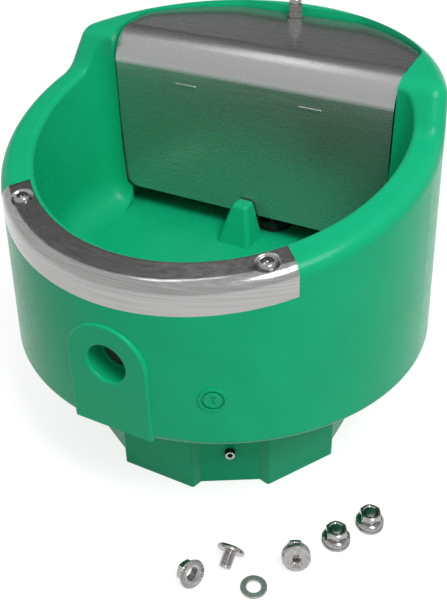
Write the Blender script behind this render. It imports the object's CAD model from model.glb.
import math

import bmesh
import bpy
from mathutils import Matrix, Vector


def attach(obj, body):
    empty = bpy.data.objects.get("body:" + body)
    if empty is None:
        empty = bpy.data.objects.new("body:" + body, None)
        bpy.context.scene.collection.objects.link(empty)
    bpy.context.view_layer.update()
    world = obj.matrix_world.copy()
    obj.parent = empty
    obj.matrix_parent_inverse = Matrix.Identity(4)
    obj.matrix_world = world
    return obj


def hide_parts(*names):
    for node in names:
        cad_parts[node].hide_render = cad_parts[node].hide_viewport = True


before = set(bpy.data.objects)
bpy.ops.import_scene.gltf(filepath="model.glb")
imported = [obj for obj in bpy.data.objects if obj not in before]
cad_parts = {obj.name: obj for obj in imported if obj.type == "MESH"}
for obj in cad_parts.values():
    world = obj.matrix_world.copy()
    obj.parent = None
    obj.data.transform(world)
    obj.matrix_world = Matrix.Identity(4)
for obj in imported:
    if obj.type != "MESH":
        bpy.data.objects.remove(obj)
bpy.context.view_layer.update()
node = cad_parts
scene = bpy.context.scene
scene.view_settings.view_transform = "Standard"

# ---- Studio table ----------------------------------------------------------------------
# The bowl stands on a white paper sweep. A soft key light hangs high in front on the right,
# and a short strip light high on the left. The steel mirrors a dim ceiling behind as grey.
camera_place = Vector((0.3672, -0.6680, 0.6617))
camera_target = Vector((0.0628, -0.1143, 0.2158))
camera_lean = math.radians(-1.294)
camera_lens = 54.13
looking = (camera_target - camera_place).normalized()
level = looking.cross(Vector((0, 0, 1))).normalized()
upright = level.cross(looking)
right = math.cos(camera_lean) * level + math.sin(camera_lean) * upright
upward = math.cos(camera_lean) * upright - math.sin(camera_lean) * level
camera = bpy.data.objects.new("camera", bpy.data.cameras.new("camera"))
camera.data.lens = camera_lens
camera.matrix_world = (Matrix.Translation(camera_place)
                       @ Matrix((right, upward, -looking)).transposed().to_4x4())
scene.collection.objects.link(camera)
scene.camera = camera


def flat_sheet(name, half_width, half_depth):
    """A flat rectangle for the studio, in its own middle."""
    sheet = bmesh.new()
    outline = [(-half_width, -half_depth, 0), (half_width, -half_depth, 0),
               (half_width, half_depth, 0), (-half_width, half_depth, 0)]
    sheet.faces.new([sheet.verts.new(point) for point in outline])
    mesh = bpy.data.meshes.new(name)
    sheet.to_mesh(mesh)
    sheet.free()
    made = bpy.data.objects.new(name, mesh)
    scene.collection.objects.link(made)
    return made


def bare_nodes(owner):
    """Empties a material's or the world's nodes. Gives the nodes and the call that wires them."""
    owner.use_nodes = True
    owner.node_tree.nodes.clear()
    return owner.node_tree.nodes, owner.node_tree.links.new


sweep_half_width = 6.0
paper_colour = (0.42, 0.42, 0.42, 1)
paper_glow = 0.78
white_sweep = flat_sheet("white_sweep", sweep_half_width, sweep_half_width)
paper = bpy.data.materials.new("white_paper")
parts, wire = bare_nodes(paper)
matt = parts.new("ShaderNodeBsdfDiffuse")
matt.inputs["Color"].default_value = paper_colour
glow = parts.new("ShaderNodeEmission")
rays = parts.new("ShaderNodeLightPath")
camera_or_gloss = parts.new("ShaderNodeMath")
camera_or_gloss.operation = "MAXIMUM"
glow_level = parts.new("ShaderNodeMath")
glow_level.operation = "MULTIPLY"
glow_level.inputs[1].default_value = paper_glow
both = parts.new("ShaderNodeAddShader")
surface = parts.new("ShaderNodeOutputMaterial")
wire(rays.outputs["Is Camera Ray"], camera_or_gloss.inputs[0])
wire(rays.outputs["Is Glossy Ray"], camera_or_gloss.inputs[1])
wire(camera_or_gloss.outputs[0], glow_level.inputs[0])
wire(glow_level.outputs[0], glow.inputs["Strength"])
wire(matt.outputs[0], both.inputs[0])
wire(glow.outputs[0], both.inputs[1])
wire(both.outputs[0], surface.inputs["Surface"])
white_sweep.data.materials.append(paper)

room_level = 0.43
mirrored_level = 0.80
seen_level = 1.0
white = (1, 1, 1, 1)
studio = bpy.data.worlds.new("studio")
scene.world = studio
parts, wire = bare_nodes(studio)
seen = parts.new("ShaderNodeBackground")
seen.inputs["Color"].default_value = white
room = parts.new("ShaderNodeBackground")
room.inputs["Color"].default_value = white
room.inputs["Strength"].default_value = room_level
rays = parts.new("ShaderNodeLightPath")
seen_or_mirrored = parts.new("ShaderNodeMath")
seen_or_mirrored.operation = "MAXIMUM"
brightness = parts.new("ShaderNodeMapRange")
brightness.inputs["To Min"].default_value = mirrored_level
brightness.inputs["To Max"].default_value = seen_level
choice = parts.new("ShaderNodeMixShader")
surround = parts.new("ShaderNodeOutputWorld")
wire(rays.outputs["Is Camera Ray"], seen_or_mirrored.inputs[0])
wire(rays.outputs["Is Glossy Ray"], seen_or_mirrored.inputs[1])
wire(seen_or_mirrored.outputs[0], choice.inputs["Fac"])
wire(rays.outputs["Is Camera Ray"], brightness.inputs["Value"])
wire(brightness.outputs["Result"], seen.inputs["Strength"])
wire(room.outputs[0], choice.inputs[1])
wire(seen.outputs[0], choice.inputs[2])
wire(choice.outputs[0], surround.inputs["Surface"])


def aimed(place, target, face):
    """The frame at a place that turns the named face towards the target."""
    towards = (Vector(target) - Vector(place)).to_track_quat(face, "Y")
    return Matrix.Translation(place) @ towards.to_matrix().to_4x4()


def softbox(name, place, target, width, depth, watts):
    """A rectangular soft light that points at the target."""
    lamp = bpy.data.lights.new(name, "AREA")
    lamp.shape = "RECTANGLE"
    lamp.size, lamp.size_y, lamp.energy = width, depth, watts
    box = bpy.data.objects.new(name, lamp)
    box.matrix_world = aimed(place, target, "-Z")
    scene.collection.objects.link(box)


softbox("key_softbox", (1.0, -0.65, 1.9), (0.0, -0.05, 0.2), width=0.8, depth=0.9, watts=29)
softbox("strip_light", (-0.70, 0.10, 2.1), (0.0, 0.05, 0.3), width=0.9, depth=0.16, watts=1.3)

ceiling_half_width, ceiling_half_depth = 2.4, 1.4
ceiling_place, ceiling_target = (-0.75, 1.65, 2.05), (0, 0, 0.3)
dark_from, light_from = -1.1, 0.6
darkest, lightest = 0.0, 0.17
ceiling = flat_sheet("dim_ceiling", ceiling_half_width, ceiling_half_depth)
ceiling.matrix_world = aimed(ceiling_place, ceiling_target, "Z")
ceiling.visible_camera = False
ceiling.visible_diffuse = False
ceiling.visible_shadow = False
dusk = bpy.data.materials.new("dusk")
parts, wire = bare_nodes(dusk)
place = parts.new("ShaderNodeTexCoord")
split = parts.new("ShaderNodeSeparateXYZ")
fade = parts.new("ShaderNodeMapRange")
fade.inputs["From Min"].default_value = dark_from
fade.inputs["From Max"].default_value = light_from
fade.inputs["To Min"].default_value = darkest
fade.inputs["To Max"].default_value = lightest
glow = parts.new("ShaderNodeEmission")
surface = parts.new("ShaderNodeOutputMaterial")
wire(place.outputs["Object"], split.inputs[0])
wire(split.outputs["Y"], fade.inputs["Value"])
wire(fade.outputs["Result"], glow.inputs["Strength"])
wire(glow.outputs[0], surface.inputs["Surface"])
ceiling.data.materials.append(dusk)


# ---- Bowl body -------------------------------------------------------------------------
# One hollow rotomoulded shell of green polyethylene: wall, basin, float chamber and foot.
# The mould leaves a satin orange peel on it, and the pigment wanders a little in tone.
def finish_of(name, colour, metallic, roughness):
    """A new material with a plain shader, ready for what varies over it."""
    made = bpy.data.materials.new(name)
    made.use_nodes = True
    shader = made.node_tree.nodes["Principled BSDF"]
    shader.inputs["Base Color"].default_value = (*colour, 1)
    shader.inputs["Metallic"].default_value = metallic
    shader.inputs["Roughness"].default_value = roughness
    return made


def grain(made, size, stretch=(1, 1, 1), detail=4.0, around=0.0):
    """Noise in metres: grains of that size, drawn out by stretch. With around, a radius, the
    first direction runs round the upright axis, the second away from the frame's origin and
    the third up."""
    parts, wire = made.node_tree.nodes, made.node_tree.links.new
    place = parts.new("ShaderNodeTexCoord")
    drawn = parts.new("ShaderNodeMapping")
    drawn.inputs["Scale"].default_value = [1 / (size * along) for along in stretch]
    noise = parts.new("ShaderNodeTexNoise")
    noise.inputs["Scale"].default_value = 1.0
    noise.inputs["Detail"].default_value = detail
    if around:
        split = parts.new("ShaderNodeSeparateXYZ")
        turn = parts.new("ShaderNodeMath")
        turn.operation = "ARCTAN2"
        run = parts.new("ShaderNodeMath")
        run.operation = "MULTIPLY"
        run.inputs[1].default_value = around
        reach = parts.new("ShaderNodeVectorMath")
        reach.operation = "LENGTH"
        joined = parts.new("ShaderNodeCombineXYZ")
        wire(place.outputs["Object"], split.inputs[0])
        wire(split.outputs["Y"], turn.inputs[0])
        wire(split.outputs["X"], turn.inputs[1])
        wire(turn.outputs[0], run.inputs[0])
        wire(place.outputs["Object"], reach.inputs[0])
        wire(run.outputs[0], joined.inputs["X"])
        wire(reach.outputs["Value"], joined.inputs["Y"])
        wire(split.outputs["Z"], joined.inputs["Z"])
        wire(joined.outputs[0], drawn.inputs["Vector"])
    else:
        wire(place.outputs["Object"], drawn.inputs["Vector"])
    wire(drawn.outputs["Vector"], noise.inputs["Vector"])
    return noise.outputs["Fac"]


noise_low, noise_high = 0.3, 0.7


def vary_roughness(made, source, smooth, rough):
    """Lets the roughness wander between two levels."""
    parts, wire = made.node_tree.nodes, made.node_tree.links.new
    span = parts.new("ShaderNodeMapRange")
    span.inputs["From Min"].default_value = noise_low
    span.inputs["From Max"].default_value = noise_high
    span.inputs["To Min"].default_value = smooth
    span.inputs["To Max"].default_value = rough
    wire(source, span.inputs["Value"])
    wire(span.outputs["Result"], parts["Principled BSDF"].inputs["Roughness"])


def vary_colour(made, source, dark, light):
    """Lets the colour wander between two tones."""
    parts, wire = made.node_tree.nodes, made.node_tree.links.new
    ramp = parts.new("ShaderNodeValToRGB")
    ramp.color_ramp.elements[0].position = noise_low
    ramp.color_ramp.elements[0].color = (*dark, 1)
    ramp.color_ramp.elements[1].position = noise_high
    ramp.color_ramp.elements[1].color = (*light, 1)
    wire(source, ramp.inputs["Fac"])
    wire(ramp.outputs["Color"], parts["Principled BSDF"].inputs["Base Color"])


def relief(made, *layers):
    """Bumps from (source, height in metres), the coarsest first."""
    parts, wire = made.node_tree.nodes, made.node_tree.links.new
    under = None
    for source, height in layers:
        bump = parts.new("ShaderNodeBump")
        bump.inputs["Distance"].default_value = height
        wire(source, bump.inputs["Height"])
        if under:
            wire(under.outputs["Normal"], bump.inputs["Normal"])
        under = bump
    wire(under.outputs["Normal"], parts["Principled BSDF"].inputs["Normal"])


def dress(made, *names):
    """Gives CAD nodes their material."""
    for name in names:
        node[name].data.materials.clear()
        node[name].data.materials.append(made)


polyethylene = finish_of("green_polyethylene", (0.005, 0.43, 0.202), metallic=0.0, roughness=0.28)
polyethylene.node_tree.nodes["Principled BSDF"].inputs["Specular IOR Level"].default_value = 0.12
vary_colour(polyethylene, grain(polyethylene, 0.045),
            dark=(0.0045, 0.425, 0.193), light=(0.0060, 0.460, 0.212))
vary_roughness(polyethylene, grain(polyethylene, 0.010), smooth=0.23, rough=0.30)
relief(polyethylene,
       (grain(polyethylene, 0.035, detail=1.0), 0.00012),
       (grain(polyethylene, 0.0045, detail=2.0), 0.000018),
       (grain(polyethylene, 0.0008, detail=1.0), 0.000006))
dress(polyethylene, "bowl_body")

# ---- Foam core and fill plug -----------------------------------------------------------
# Polyurethane foam fills the double wall. It goes in through a hole in the front wall that
# a plug of the body's own plastic closes, with a two-winged recess for its key.
foam = finish_of("polyurethane_foam", (0.80, 0.68, 0.38), metallic=0.0, roughness=0.9)
vary_colour(foam, grain(foam, 0.004), dark=(0.74, 0.60, 0.31), light=(0.84, 0.73, 0.44))
relief(foam, (grain(foam, 0.0012), 0.0006))
dress(foam, "foam_core")


crease_angle = math.radians(32)


def turned(name, rings, place, body, made, replaced, hollow=False, sectors=96):
    """A turned piece. Each ring is (radius, height), numbers or functions of the angle, and a
    solid one runs from pole to pole; a hollow one closes on itself. place is its frame."""
    shape = bmesh.new()
    rows = []
    for radius, height in rings:
        spokes = 1 if radius == 0 else sectors
        row = []
        for step in range(spokes):
            angle = 2 * math.pi * step / spokes
            out = radius(angle) if callable(radius) else radius
            up = height(angle) if callable(height) else height
            row.append(shape.verts.new((out * math.cos(angle), out * math.sin(angle), up)))
        rows.append(row)
    pairs = list(zip(rows, rows[1:])) + ([(rows[-1], rows[0])] if hollow else [])
    for lower, upper in pairs:
        for step in range(sectors):
            near, far = step, (step + 1) % sectors
            around = [lower[near % len(lower)], lower[far % len(lower)],
                      upper[far % len(upper)], upper[near % len(upper)]]
            shape.faces.new(list(dict.fromkeys(around)))
    bmesh.ops.recalc_face_normals(shape, faces=shape.faces)
    shape.transform(place)
    mesh = bpy.data.meshes.new(name)
    shape.to_mesh(mesh)
    shape.free()
    mesh.shade_smooth()
    mesh.set_sharp_from_angle(angle=crease_angle)
    mesh.materials.append(made)
    piece = bpy.data.objects.new(name, mesh)
    scene.collection.objects.link(piece)
    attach(piece, body)
    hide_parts(replaced)
    return piece


def frame_at(point, facing, across=None):
    """The frame at a point whose Z faces that way, and whose X lies level or near across."""
    facing = Vector(facing).normalized()
    across = Vector(across) if across else Vector((0, 0, 1)).cross(facing)
    across = (across - across.dot(facing) * facing).normalized()
    axes = Matrix((across, facing.cross(across), facing))
    return Matrix.Translation(point) @ axes.transposed().to_4x4()


plug_radius, plug_shank_radius, plug_depth = 0.0099, 0.0079, 0.0054
flange_depth, groove_depth = 0.002, 0.0026
plug_face_radius, plug_ease = 0.0079, 0.0004
recess_half_length, recess_depth = 0.0040, 0.0012
recess_taper = 0.9
wing_half_angle, waist_share = 0.68, 0.3


def bow_tie(angle):
    """Radius of the two-winged recess that a key turns the plug by."""
    from_wing = abs((angle % math.pi) - math.pi / 2)
    if from_wing < wing_half_angle:
        return recess_half_length / math.cos(from_wing)
    return waist_share * recess_half_length


plug_angle = math.radians(25.8)
plug_height = 0.169
wall_radius_at_plug, plug_proud = 0.2064, 0.0009
plug_facing = Vector((math.sin(plug_angle), -math.cos(plug_angle), 0))
plug_place = (wall_radius_at_plug + plug_proud) * plug_facing + Vector((0, 0, plug_height))
plug_rings = [(0, -plug_depth), (plug_shank_radius, -plug_depth),
              (plug_shank_radius, -flange_depth), (plug_radius, -flange_depth),
              (plug_radius, -groove_depth), (plug_face_radius + plug_ease / 2, -groove_depth),
              (plug_face_radius, -groove_depth + plug_ease), (plug_face_radius, -0.0003),
              (plug_face_radius - plug_ease, 0), (bow_tie, 0),
              (lambda angle: recess_taper * bow_tie(angle), -recess_depth), (0, -recess_depth)]
turned("foam_fill_plug", plug_rings, frame_at(plug_place, plug_facing),
       "bowl", polyethylene, "fill_plug", sectors=192)

# ---- Rim guard -------------------------------------------------------------------------
# A strip of 1.5 mm stainless sheet, pressed over the front rim and let in flush with it. It
# is brushed lengthways and buffed on top, and keeps the animals' teeth off the plastic.
brushing_radius = 0.19
guard_steel = finish_of("buffed_stainless", (0.40, 0.395, 0.39), metallic=0.95, roughness=0.17)
vary_colour(guard_steel, grain(guard_steel, 0.0011, (70, 1, 1), around=brushing_radius),
            dark=(0.33, 0.325, 0.322), light=(0.46, 0.455, 0.45))
vary_roughness(guard_steel, grain(guard_steel, 0.0008, (60, 1, 1), around=brushing_radius),
               smooth=0.12, rough=0.22)
relief(guard_steel, (grain(guard_steel, 0.0006, (80, 1, 1), around=brushing_radius), 0.000003),
       (grain(guard_steel, 0.03, detail=1.0), 0.00003))

rim_height, rim_slope = 0.322, 0.242
wall_radius, wall_lean, rim_round = 0.200, 8 / 205, 0.013
guard_inner, guard_skirt, guard_sheet = 0.175, 0.026, 0.0015
guard_half_angle = 45.6
guard_hem_ease, guard_hem_angle = 0.0003, math.radians(50)
land_steps, round_steps, skirt_steps = 24, 22, 4
screw_angle, screw_radius, screw_hole_radius = 39.3, 0.1865, 0.0046
dimple_radius, dimple_floor, dimple_depth = 0.0105, 0.0080, 0.0022
plain_step, dimple_step, dimple_span = 1.0, 0.2, 3.6
rim_normal = Vector((0, -rim_slope, 1)).normalized()


def on_rim(degrees, reach):
    """A point of the sloped rim plane, at an angle from the front towards the right."""
    turn = math.radians(degrees)
    along = -reach * math.cos(turn)
    return Vector((reach * math.sin(turn), along, rim_height + rim_slope * along))


def guard_profile(degrees):
    """The strip's outer face at one angle, as (reach, height) from the basin's edge down."""
    fall = rim_slope * math.cos(math.radians(degrees))
    reach = wall_radius / (1 - fall * wall_lean)
    corner = Vector((reach, rim_height - fall * reach))
    inward = Vector((-1, fall)).normalized()
    down = Vector((wall_lean, -1)).normalized()
    half = inward.angle(down) / 2
    tangent = rim_round / math.tan(half)
    centre = corner + (inward + down).normalized() * (rim_round / math.sin(half))
    first, last = corner + tangent * inward, corner + tangent * down
    points = []
    for step in range(land_steps):
        out = guard_inner + (first.x - guard_inner) * step / land_steps
        points.append((out, rim_height - fall * out))
    start = math.atan2(first.y - centre.y, first.x - centre.x)
    stop = math.atan2(last.y - centre.y, last.x - centre.x)
    for step in range(round_steps + 1):
        lean = start + (stop - start) * step / round_steps
        points.append((centre.x + rim_round * math.cos(lean),
                       centre.y + rim_round * math.sin(lean)))
    hem = (wall_radius + guard_skirt * wall_lean) / (1 - fall * wall_lean)
    foot = Vector((hem, rim_height - guard_skirt - fall * hem))
    points += [tuple(last.lerp(foot, step / skirt_steps)) for step in range(1, skirt_steps + 1)]
    return points


screw_places = [on_rim(side * screw_angle, screw_radius) for side in (-1, 1)]
angles = [-guard_half_angle]
while angles[-1] < guard_half_angle:
    in_dimple = abs(abs(angles[-1]) - screw_angle) < dimple_span
    angles.append(min(guard_half_angle, angles[-1] + (dimple_step if in_dimple else plain_step)))
strip = bmesh.new()
columns = []
for degrees in angles:
    turn = math.radians(degrees)
    column = []
    for out, up in guard_profile(degrees):
        point = Vector((out * math.sin(turn), -out * math.cos(turn), up))
        for place in screw_places:
            below = (place - point).dot(rim_normal)
            away = (point - place + below * rim_normal).length
            slope = min(1, max(0, (dimple_radius - away) / (dimple_radius - dimple_floor)))
            sunk = dimple_depth * slope * slope * (3 - 2 * slope)
            point -= max(0, sunk - below) * rim_normal
        column.append(strip.verts.new(point))
    columns.append(column)
for left_column, right_column in zip(columns, columns[1:]):
    for step in range(len(left_column) - 1):
        around = (left_column[step], left_column[step + 1],
                  right_column[step + 1], right_column[step])
        middle = sum((vertex.co for vertex in around), Vector()) / 4
        if all((middle - place).length > screw_hole_radius for place in screw_places):
            strip.faces.new(around)
strip.normal_update()
mesh = bpy.data.meshes.new("rim_guard_strip")
strip.to_mesh(mesh)
strip.free()
mesh.shade_smooth()
mesh.materials.append(guard_steel)
guard = bpy.data.objects.new("rim_guard_strip", mesh)
scene.collection.objects.link(guard)
sheet = guard.modifiers.new("sheet", "SOLIDIFY")
sheet.thickness, sheet.offset = guard_sheet, -1
eased = guard.modifiers.new("eased", "BEVEL")
eased.width, eased.segments = guard_hem_ease, 2
eased.limit_method, eased.angle_limit = "ANGLE", guard_hem_angle
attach(guard, "bowl")
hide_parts("rim_guard")

# ---- Rim screws ------------------------------------------------------------------------
# Two stainless M8 button-head screws with a six-lobe recess, each in a pressed dimple of
# the guard. They turn into brass inserts moulded into the wall.
bright = finish_of("bright_stainless", (0.36, 0.355, 0.35), metallic=0.97, roughness=0.12)
vary_roughness(bright, grain(bright, 0.0012), smooth=0.07, rough=0.17)
brass = finish_of("machined_brass", (0.60, 0.42, 0.16), metallic=1.0, roughness=0.3)
vary_colour(brass, grain(brass, 0.006), dark=(0.50, 0.34, 0.13), light=(0.66, 0.48, 0.20))
vary_roughness(brass, grain(brass, 0.002), smooth=0.25, rough=0.42)
dress(brass, "rim_inserts")

button_radius, button_height, button_sunk = 0.007, 0.0044, 0.0022
button_edge, button_top_radius, button_steps = 0.0008, 0.0033, 8
screw_shank, screw_length, screw_ease = 0.004, 0.020, 0.0006
lobe_mean, lobe_wave, lobe_taper = 0.0023, 0.00042, 0.96
drive_depth, drive_point = 0.0022, 0.0004


def six_lobes(angle):
    """Radius of the six-lobe recess."""
    return lobe_mean + lobe_wave * math.cos(6 * angle)


button = [(0, -screw_length), (screw_shank - screw_ease, -screw_length),
          (screw_shank, -screw_length + screw_ease), (screw_shank, 0),
          (button_radius - 0.0002, 0), (button_radius, 0.0003), (button_radius, button_edge)]
for step in range(1, button_steps + 1):
    lift = step / button_steps
    spread = (button_radius - button_top_radius) * math.sqrt(1 - lift ** 2)
    button.append((button_top_radius + spread,
                   button_edge + (button_height - button_edge) * lift))
button += [(six_lobes, button_height),
           (lambda angle: six_lobes(angle) * lobe_taper, button_height - drive_depth),
           (0, button_height - drive_depth - drive_point)]
for side, place, turn in (("left", screw_places[0], 0.3), ("right", screw_places[1], 0.8)):
    seat = frame_at(place - button_sunk * rim_normal, rim_normal,
                    across=(math.cos(turn), math.sin(turn), 0))
    turned("rim_screw_" + side, button, seat,
           "bowl", bright, "rim_screws", sectors=144)

# ---- Cover -----------------------------------------------------------------------------
# One 1.5 mm stainless sheet, bent over from the front plate to the top plate, brushed along
# the bend. It lies loose in a rebate of the body and two small ribs stiffen the front.
cover_steel = finish_of("brushed_stainless", (0.44, 0.44, 0.44), metallic=0.865, roughness=0.27)
vary_roughness(cover_steel, grain(cover_steel, 0.0007, (70, 1, 1)), smooth=0.23, rough=0.31)
relief(cover_steel, (grain(cover_steel, 0.0005, (90, 1, 1)), 0.0000025),
       (grain(cover_steel, 0.03, detail=1.0), 0.00004))
dress(cover_steel, "cover")

# ---- Cover stud and nuts ---------------------------------------------------------------
# An M8 stud stands in a brass insert at the rear of the chamber. A washer, a thin lock nut
# and a bright dome nut hold the cover down.
dress(brass, "stud_insert")


def rounded(points, corner):
    """A ring profile with the corners between its ends eased by short chamfers."""
    eased = [points[0]]
    for before, here, after in zip(points, points[1:], points[2:]):
        for other in (before, after):
            run = Vector((other[0] - here[0], other[1] - here[1]))
            step = run.normalized() * min(corner, run.length / 3)
            eased.append((here[0] + step.x, here[1] + step.y))
    eased.append(points[-1])
    return eased


def flat_washer(bore, radius, foot, thickness, ease):
    """Rings of a flat washer, round the section from the middle of its bore."""
    middle, top = foot + thickness / 2, foot + thickness
    return rounded([(bore, middle), (bore, foot), (radius, foot),
                    (radius, top), (bore, top), (bore, middle)], ease)[:-1]


def hexagon(flats):
    """Radius of a hexagon, by the distance across its flats."""
    return lambda angle: flats / 2 / math.cos(angle % (math.pi / 3) - math.pi / 6)


land_share, collar_steps = 0.475, 5


def hex_collar(flats, foot, top, ease_foot=True):
    """Rings of a hexagon whose corners are turned off at 30 degrees at its ends."""
    edge = hexagon(flats)
    corner = flats / 2 / math.cos(math.pi / 6)
    land = land_share * flats
    fall = (corner - land) * math.tan(math.radians(30))
    cones = []
    for step in range(collar_steps):
        cone = land + (corner - land) * step / (collar_steps - 1)
        cones.append(((lambda angle, cone=cone: min(edge(angle), cone)),
                      fall * step / (collar_steps - 1)))
    rings = [(cone, foot + up) for cone, up in cones] if ease_foot else [(edge, foot)]
    return rings + [(cone, top - up) for cone, up in reversed(cones)]


thread_depth_share, rings_per_pitch = 0.54, 8


def thread(radius, pitch, foot, top):
    """Rings of an outside thread, which runs out over a pitch at both ends."""
    depth = thread_depth_share * pitch
    count = int((top - foot) / pitch * rings_per_pitch)

    def ridges(up, full):
        """Radius of the ring at a height, from 0 where the thread has run out to 1 in full."""
        return lambda angle: radius - depth * (1 - full) - depth * full * abs(
            2 * ((up / pitch - angle / (2 * math.pi)) % 1) - 1)

    rings = []
    for step in range(count + 1):
        up = foot + (top - foot) * step / count
        rings.append((ridges(up, min(1, (up - foot) / pitch, (top - up) / pitch)), up))
    return rings


stud_frame = Matrix.Translation(Vector((0, 0.163, 0)))
cover_top, cover_sheet = 0.368, 0.0015
m8_washer_bore, m8_washer_radius, m8_washer_thickness = 0.0046, 0.008, 0.0016
turned("cover_washer_m8",
       flat_washer(m8_washer_bore, m8_washer_radius, cover_top, m8_washer_thickness, 0.0002),
       stud_frame, "cover_nuts", bright, "cover_washer", hollow=True)

m8_flats, m8_nut_height = 0.013, 0.0065
m8_bore, m8_countersink, m8_lead = 0.00405, 0.0046, 0.0005
nut_foot = cover_top + m8_washer_thickness
nut_top = nut_foot + m8_nut_height
lock_nut = [(m8_countersink, nut_foot)] + hex_collar(m8_flats, nut_foot, nut_top)
lock_nut += [(m8_countersink, nut_top), (m8_bore, nut_top - m8_lead), (m8_bore, nut_foot + m8_lead)]
turned("cover_lock_nut", lock_nut, stud_frame,
       "cover_nuts", bright, "cover_locknut", hollow=True)

dome_height, dome_hex_height, dome_radius, dome_steps = 0.015, 0.007, 0.00615, 12
dome_bore_depth = 0.0078
dome_top = nut_top + dome_height
dome_centre = dome_top - dome_radius
dome = [(0, nut_top + dome_bore_depth), (m8_bore, nut_top + dome_bore_depth),
        (m8_bore, nut_top + m8_lead), (m8_countersink, nut_top)]
dome += hex_collar(m8_flats, nut_top, nut_top + dome_hex_height)
dome += [(dome_radius - 0.0002, nut_top + 0.0071), (dome_radius, nut_top + 0.0074)]
for step in range(dome_steps):
    rise = math.radians(90 * step / dome_steps)
    dome.append((dome_radius * math.cos(rise), dome_centre + dome_radius * math.sin(rise)))
dome += [(0, dome_top)]
turned("cover_dome_nut", dome, stud_frame,
       "cover_nuts", bright, "dome_nut")

stud_radius, stud_pitch, stud_depth = 0.00398, 0.00125, 0.022
stud_foot = cover_top - cover_sheet - stud_depth
stud_tip = nut_top + dome_hex_height
stud = [(0, stud_foot), (0.0035, stud_foot)]
stud += thread(stud_radius, stud_pitch, stud_foot + 0.0004, stud_tip - 0.0004)
stud += [(0.0032, stud_tip), (0, stud_tip)]
turned("cover_stud_m8", stud, stud_frame,
       "bowl", bright, "cover_stud", sectors=48)

# ---- Foot screws -----------------------------------------------------------------------
# Three M6 socket-head screws clamp the foot on its riser. Their knurled heads stand proud
# of the recessed facets, and their shanks run in brass inserts.
dress(brass, "base_inserts")
blackened = finish_of("blackened_stainless", (0.035, 0.035, 0.035), metallic=0.9, roughness=0.3)
vary_roughness(blackened, grain(blackened, 0.001), smooth=0.24, rough=0.38)
worn_bright = finish_of("worn_bright_stainless", (0.42, 0.42, 0.41), metallic=1.0, roughness=0.22)
vary_roughness(worn_bright, grain(worn_bright, 0.0008), smooth=0.16, rough=0.30)

foot_corner_radius, facet_recess = 0.1467, 0.007
recess_apothem = foot_corner_radius * math.cos(math.radians(15)) - facet_recess
foot_screw_height = 0.0395
cap_radius, cap_height, cap_ease = 0.005, 0.006, 0.0004
m6_shank, m6_length = 0.003, 0.011
m6_socket_flats, m6_socket_depth = 0.005, 0.003
knurl_depth, knurl_teeth = 0.00012, 40
worn_depth = 0.0003


def knurl(angle):
    """Radius of the knurled head."""
    return cap_radius - knurl_depth + knurl_depth * math.cos(knurl_teeth * angle)


m6_socket = hexagon(m6_socket_flats)
cap_screw = [(0, -m6_length), (m6_shank - 0.0005, -m6_length), (m6_shank, -m6_length + 0.0005),
             (m6_shank, 0), (cap_radius - cap_ease, 0), (knurl, cap_ease), (knurl, 0.0052),
             (cap_radius - cap_ease, cap_height), (0.0033, cap_height),
             (m6_socket, cap_height - cap_ease), (m6_socket, cap_height - m6_socket_depth),
             (0, cap_height - m6_socket_depth - 0.0008)]
for number, degrees in enumerate((30, 150, 270), 1):
    turn = math.radians(degrees)
    outward = Vector((math.sin(turn), -math.cos(turn), 0))
    seat = recess_apothem * outward + Vector((0, 0, foot_screw_height))
    screw = turned(f"foot_screw_{number}", cap_screw, frame_at(seat, outward),
                   "bowl", blackened, "base_screws", sectors=160)
    screw.data.materials.append(worn_bright)
    for face in screw.data.polygons:
        on_face = (face.center - seat).dot(outward) > cap_height - worn_depth
        face.material_index = int(on_face)

# ---- Feed ------------------------------------------------------------------------------
# Water comes up through a nylon fitting with a G 1/2 tail, clamped through the chamber floor
# on a rubber gasket, and a stainless riser pipe carries it to the valve.
rubber = finish_of("black_rubber", (0.018, 0.018, 0.018), metallic=0.0, roughness=0.6)
vary_roughness(rubber, grain(rubber, 0.003), smooth=0.5, rough=0.7)
relief(rubber, (grain(rubber, 0.001), 0.00003))
black_nylon = finish_of("black_nylon", (0.03, 0.03, 0.032), metallic=0.0, roughness=0.45)
vary_roughness(black_nylon, grain(black_nylon, 0.001, (1, 1, 6)), smooth=0.38, rough=0.55)
pipe_steel = finish_of("drawn_stainless", (0.52, 0.52, 0.52), metallic=1.0, roughness=0.28)
vary_roughness(pipe_steel, grain(pipe_steel, 0.0006, (1, 1, 60)), smooth=0.2, rough=0.36)
dress(rubber, "inlet_gasket")
dress(black_nylon, "inlet_fitting", "inlet_locknut")
dress(pipe_steel, "riser_pipe")

# ---- Float valve -----------------------------------------------------------------------
# A brass barrel with a nylon nozzle at one end and a ribbed nylon cap at the other. The
# lever's lobe pushes a brass piston with a rubber seal against the nozzle.
nylon = finish_of("white_nylon", (0.80, 0.80, 0.76), metallic=0.0, roughness=0.4)
vary_colour(nylon, grain(nylon, 0.01), dark=(0.76, 0.75, 0.70), light=(0.82, 0.82, 0.79))
relief(nylon, (grain(nylon, 0.002), 0.00002))
dress(brass, "valve_body", "valve_piston")
dress(nylon, "valve_nozzle", "valve_cap")
dress(rubber, "piston_seal")
dress(bright, "pivot_pin")

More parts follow.
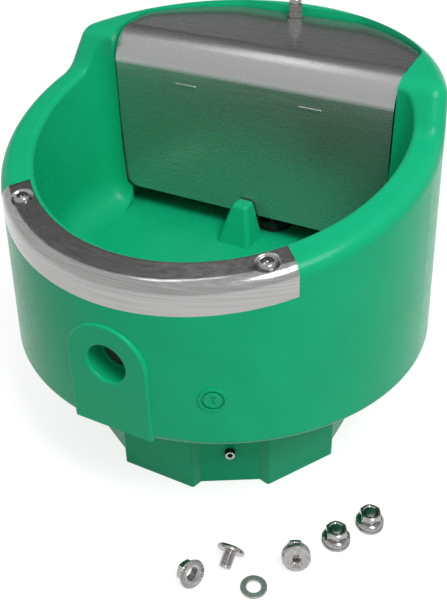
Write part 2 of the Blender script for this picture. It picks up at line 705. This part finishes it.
# ---- Float -----------------------------------------------------------------------------
# A hollow float of two welded plastic shells on a brass rod, clamped between the rod's
# collar and a stainless nut. It hangs from the lever's pivot pin.
lever_brass = finish_of("cast_brass", (0.58, 0.41, 0.17), metallic=1.0, roughness=0.35)
vary_colour(lever_brass, grain(lever_brass, 0.005),
            dark=(0.48, 0.33, 0.13), light=(0.62, 0.45, 0.19))
vary_roughness(lever_brass, grain(lever_brass, 0.0015), smooth=0.3, rough=0.5)
dress(lever_brass, "float_arm")
float_plastic = finish_of("float_plastic", (0.70, 0.17, 0.02), metallic=0.0, roughness=0.28)
vary_roughness(float_plastic, grain(float_plastic, 0.004), smooth=0.24, rough=0.36)
relief(float_plastic, (grain(float_plastic, 0.006, detail=1.0), 0.00004))
dress(float_plastic, "float_ball")
dress(bright, "float_nut")

# ---- Drain stopper ---------------------------------------------------------------------
# A tapered rubber stopper, pushed into the drain from the basin's side. A tab moulded on it
# is pulled to empty the bowl.
dress(rubber, "drain_stopper")

# ---- Fixing kit ------------------------------------------------------------------------
# Four short M12 bolts with wide flat heads, plain washers and serrated flange nuts, loose on
# the table: three sets put together, and one taken apart.
kit_steel = finish_of("kit_stainless", (0.38, 0.365, 0.36), metallic=0.97, roughness=0.17)
vary_colour(kit_steel, grain(kit_steel, 0.004),
            dark=(0.30, 0.29, 0.285), light=(0.46, 0.445, 0.44))
vary_roughness(kit_steel, grain(kit_steel, 0.0015), smooth=0.08, rough=0.20)
dull_steel = finish_of("dull_stainless", (0.46, 0.46, 0.455), metallic=0.78, roughness=0.34)
vary_colour(dull_steel, grain(dull_steel, 0.003),
            dark=(0.40, 0.40, 0.395), light=(0.50, 0.50, 0.495))
vary_roughness(dull_steel, grain(dull_steel, 0.001), smooth=0.26, rough=0.42)

head_radius, head_height, head_ease = 0.013, 0.004, 0.0006
bolt_radius, bolt_pitch, bolt_length = 0.006, 0.00175, 0.015
bolt_tip = head_height + bolt_length
bolt_socket = hexagon(0.007)
bolt_socket_depth, bolt_socket_point = 0.0080, 0.0090
short_bolt = [(0, bolt_socket_point), (bolt_socket, bolt_socket_depth), (bolt_socket, 0.0004),
              (0.0044, 0), (head_radius - 0.0012, 0), (head_radius - 0.0003, 0.0009),
              (head_radius, 0.0014), (head_radius, head_height - head_ease),
              (head_radius - head_ease, head_height), (bolt_radius + 0.0006, head_height),
              (bolt_radius - 0.0002, head_height + head_ease)]
short_bolt += thread(bolt_radius, bolt_pitch, head_height + head_ease, bolt_tip - 0.0002)
short_bolt += [(0.0045, bolt_tip), (0, bolt_tip)]

m12_washer_bore, m12_washer_radius, m12_washer_thickness = 0.0065, 0.012, 0.0025
plain_washer = flat_washer(m12_washer_bore, m12_washer_radius, 0, m12_washer_thickness, 0.0004)

nut_flats, nut_height, flange_radius, nut_hole = 0.018, 0.012, 0.013, 0.00605
tooth_count, tooth_height = 32, 0.0009
nut_corner_radius = 0.0108
nut_thread_step, nut_thread_depth, nut_thread_rings = 0.00085, 0.0004, 11


def serration(angle):
    """Height of the radial teeth under the nut's flange."""
    return tooth_height * ((tooth_count * angle / (2 * math.pi)) % 1)


flange_nut = [(nut_hole, 0.0011), (0.0075, 0.0004), (0.0085, 0.0003), (0.0088, serration),
              (flange_radius - 0.0006, serration), (flange_radius, tooth_height),
              (flange_radius, 0.0014), (flange_radius - 0.0008, 0.0022), (0.0112, 0.0032)]
flange_nut += [(lambda angle: min(hexagon(nut_flats)(angle), nut_corner_radius), 0.0036)]
flange_nut += hex_collar(nut_flats, 0.0037, nut_height, ease_foot=False)
flange_nut += [(0.0070, nut_height), (nut_hole, nut_height - 0.0008)]
for step in range(nut_thread_rings):
    flange_nut.append((nut_hole + (nut_thread_depth if step % 2 else 0),
                       nut_height - 0.0009 - nut_thread_step * step))

underside_radius = 0.208


def round_bowl(degrees, out, up=0.0):
    """A place on the table, out from the edge of the bowl's underside."""
    turn = math.radians(degrees)
    reach = underside_radius + out
    return Vector((reach * math.sin(turn), -reach * math.cos(turn), up))


def on_side(degrees, out, toward, near, far):
    """Frame of a piece that lies on two of its rims, each (along the axis, radius)."""
    dip = math.atan((near[1] - far[1]) / (far[0] - near[0]))
    up = near[0] * math.sin(dip) + near[1] * math.cos(dip)
    turn = math.radians(toward)
    facing = (math.sin(turn) * math.cos(dip), -math.cos(turn) * math.cos(dip), -math.sin(dip))
    return frame_at(round_bowl(degrees, out, up), facing, (math.cos(turn), math.sin(turn), 0))


def standing(degrees, out):
    """Frame of a piece that stands on the table."""
    return Matrix.Translation(round_bowl(degrees, out))


nut_seat = head_height + m12_washer_thickness
flange_back = (0.0026, flange_radius - 0.000365)
sets = [standing(53.4, 0.0275), standing(62.8, 0.0275),
        on_side(42.4, 0.044, toward=208, near=(nut_seat + flange_back[0], flange_back[1]),
                far=(nut_seat + nut_height, nut_flats / 2))]
bolts = sets + [on_side(29.4, 0.0209, toward=5, near=(head_height, head_radius),
                        far=(bolt_tip - 0.0008, bolt_radius))]
washers = [place @ Matrix.Translation((0, 0, head_height)) for place in sets]
washers.append(standing(33.3, 0.0555))
nuts = [place @ Matrix.Translation((0, 0, nut_seat)) for place in sets]
nuts.append(on_side(21.7, 0.0509, toward=249, near=flange_back, far=(nut_height, nut_flats / 2)))
for number, place in enumerate(bolts, 1):
    turned(f"kit_bolt_{number}", short_bolt, place,
           "fixing_kit", kit_steel, "kit_bolts", sectors=72)
for number, place in enumerate(washers, 1):
    turned(f"kit_washer_{number}", plain_washer, place,
           "fixing_kit", dull_steel, "kit_washers", hollow=True)
for number, place in enumerate(nuts, 1):
    turned(f"kit_nut_{number}", flange_nut, place,
           "fixing_kit", kit_steel, "kit_nuts", hollow=True, sectors=144)
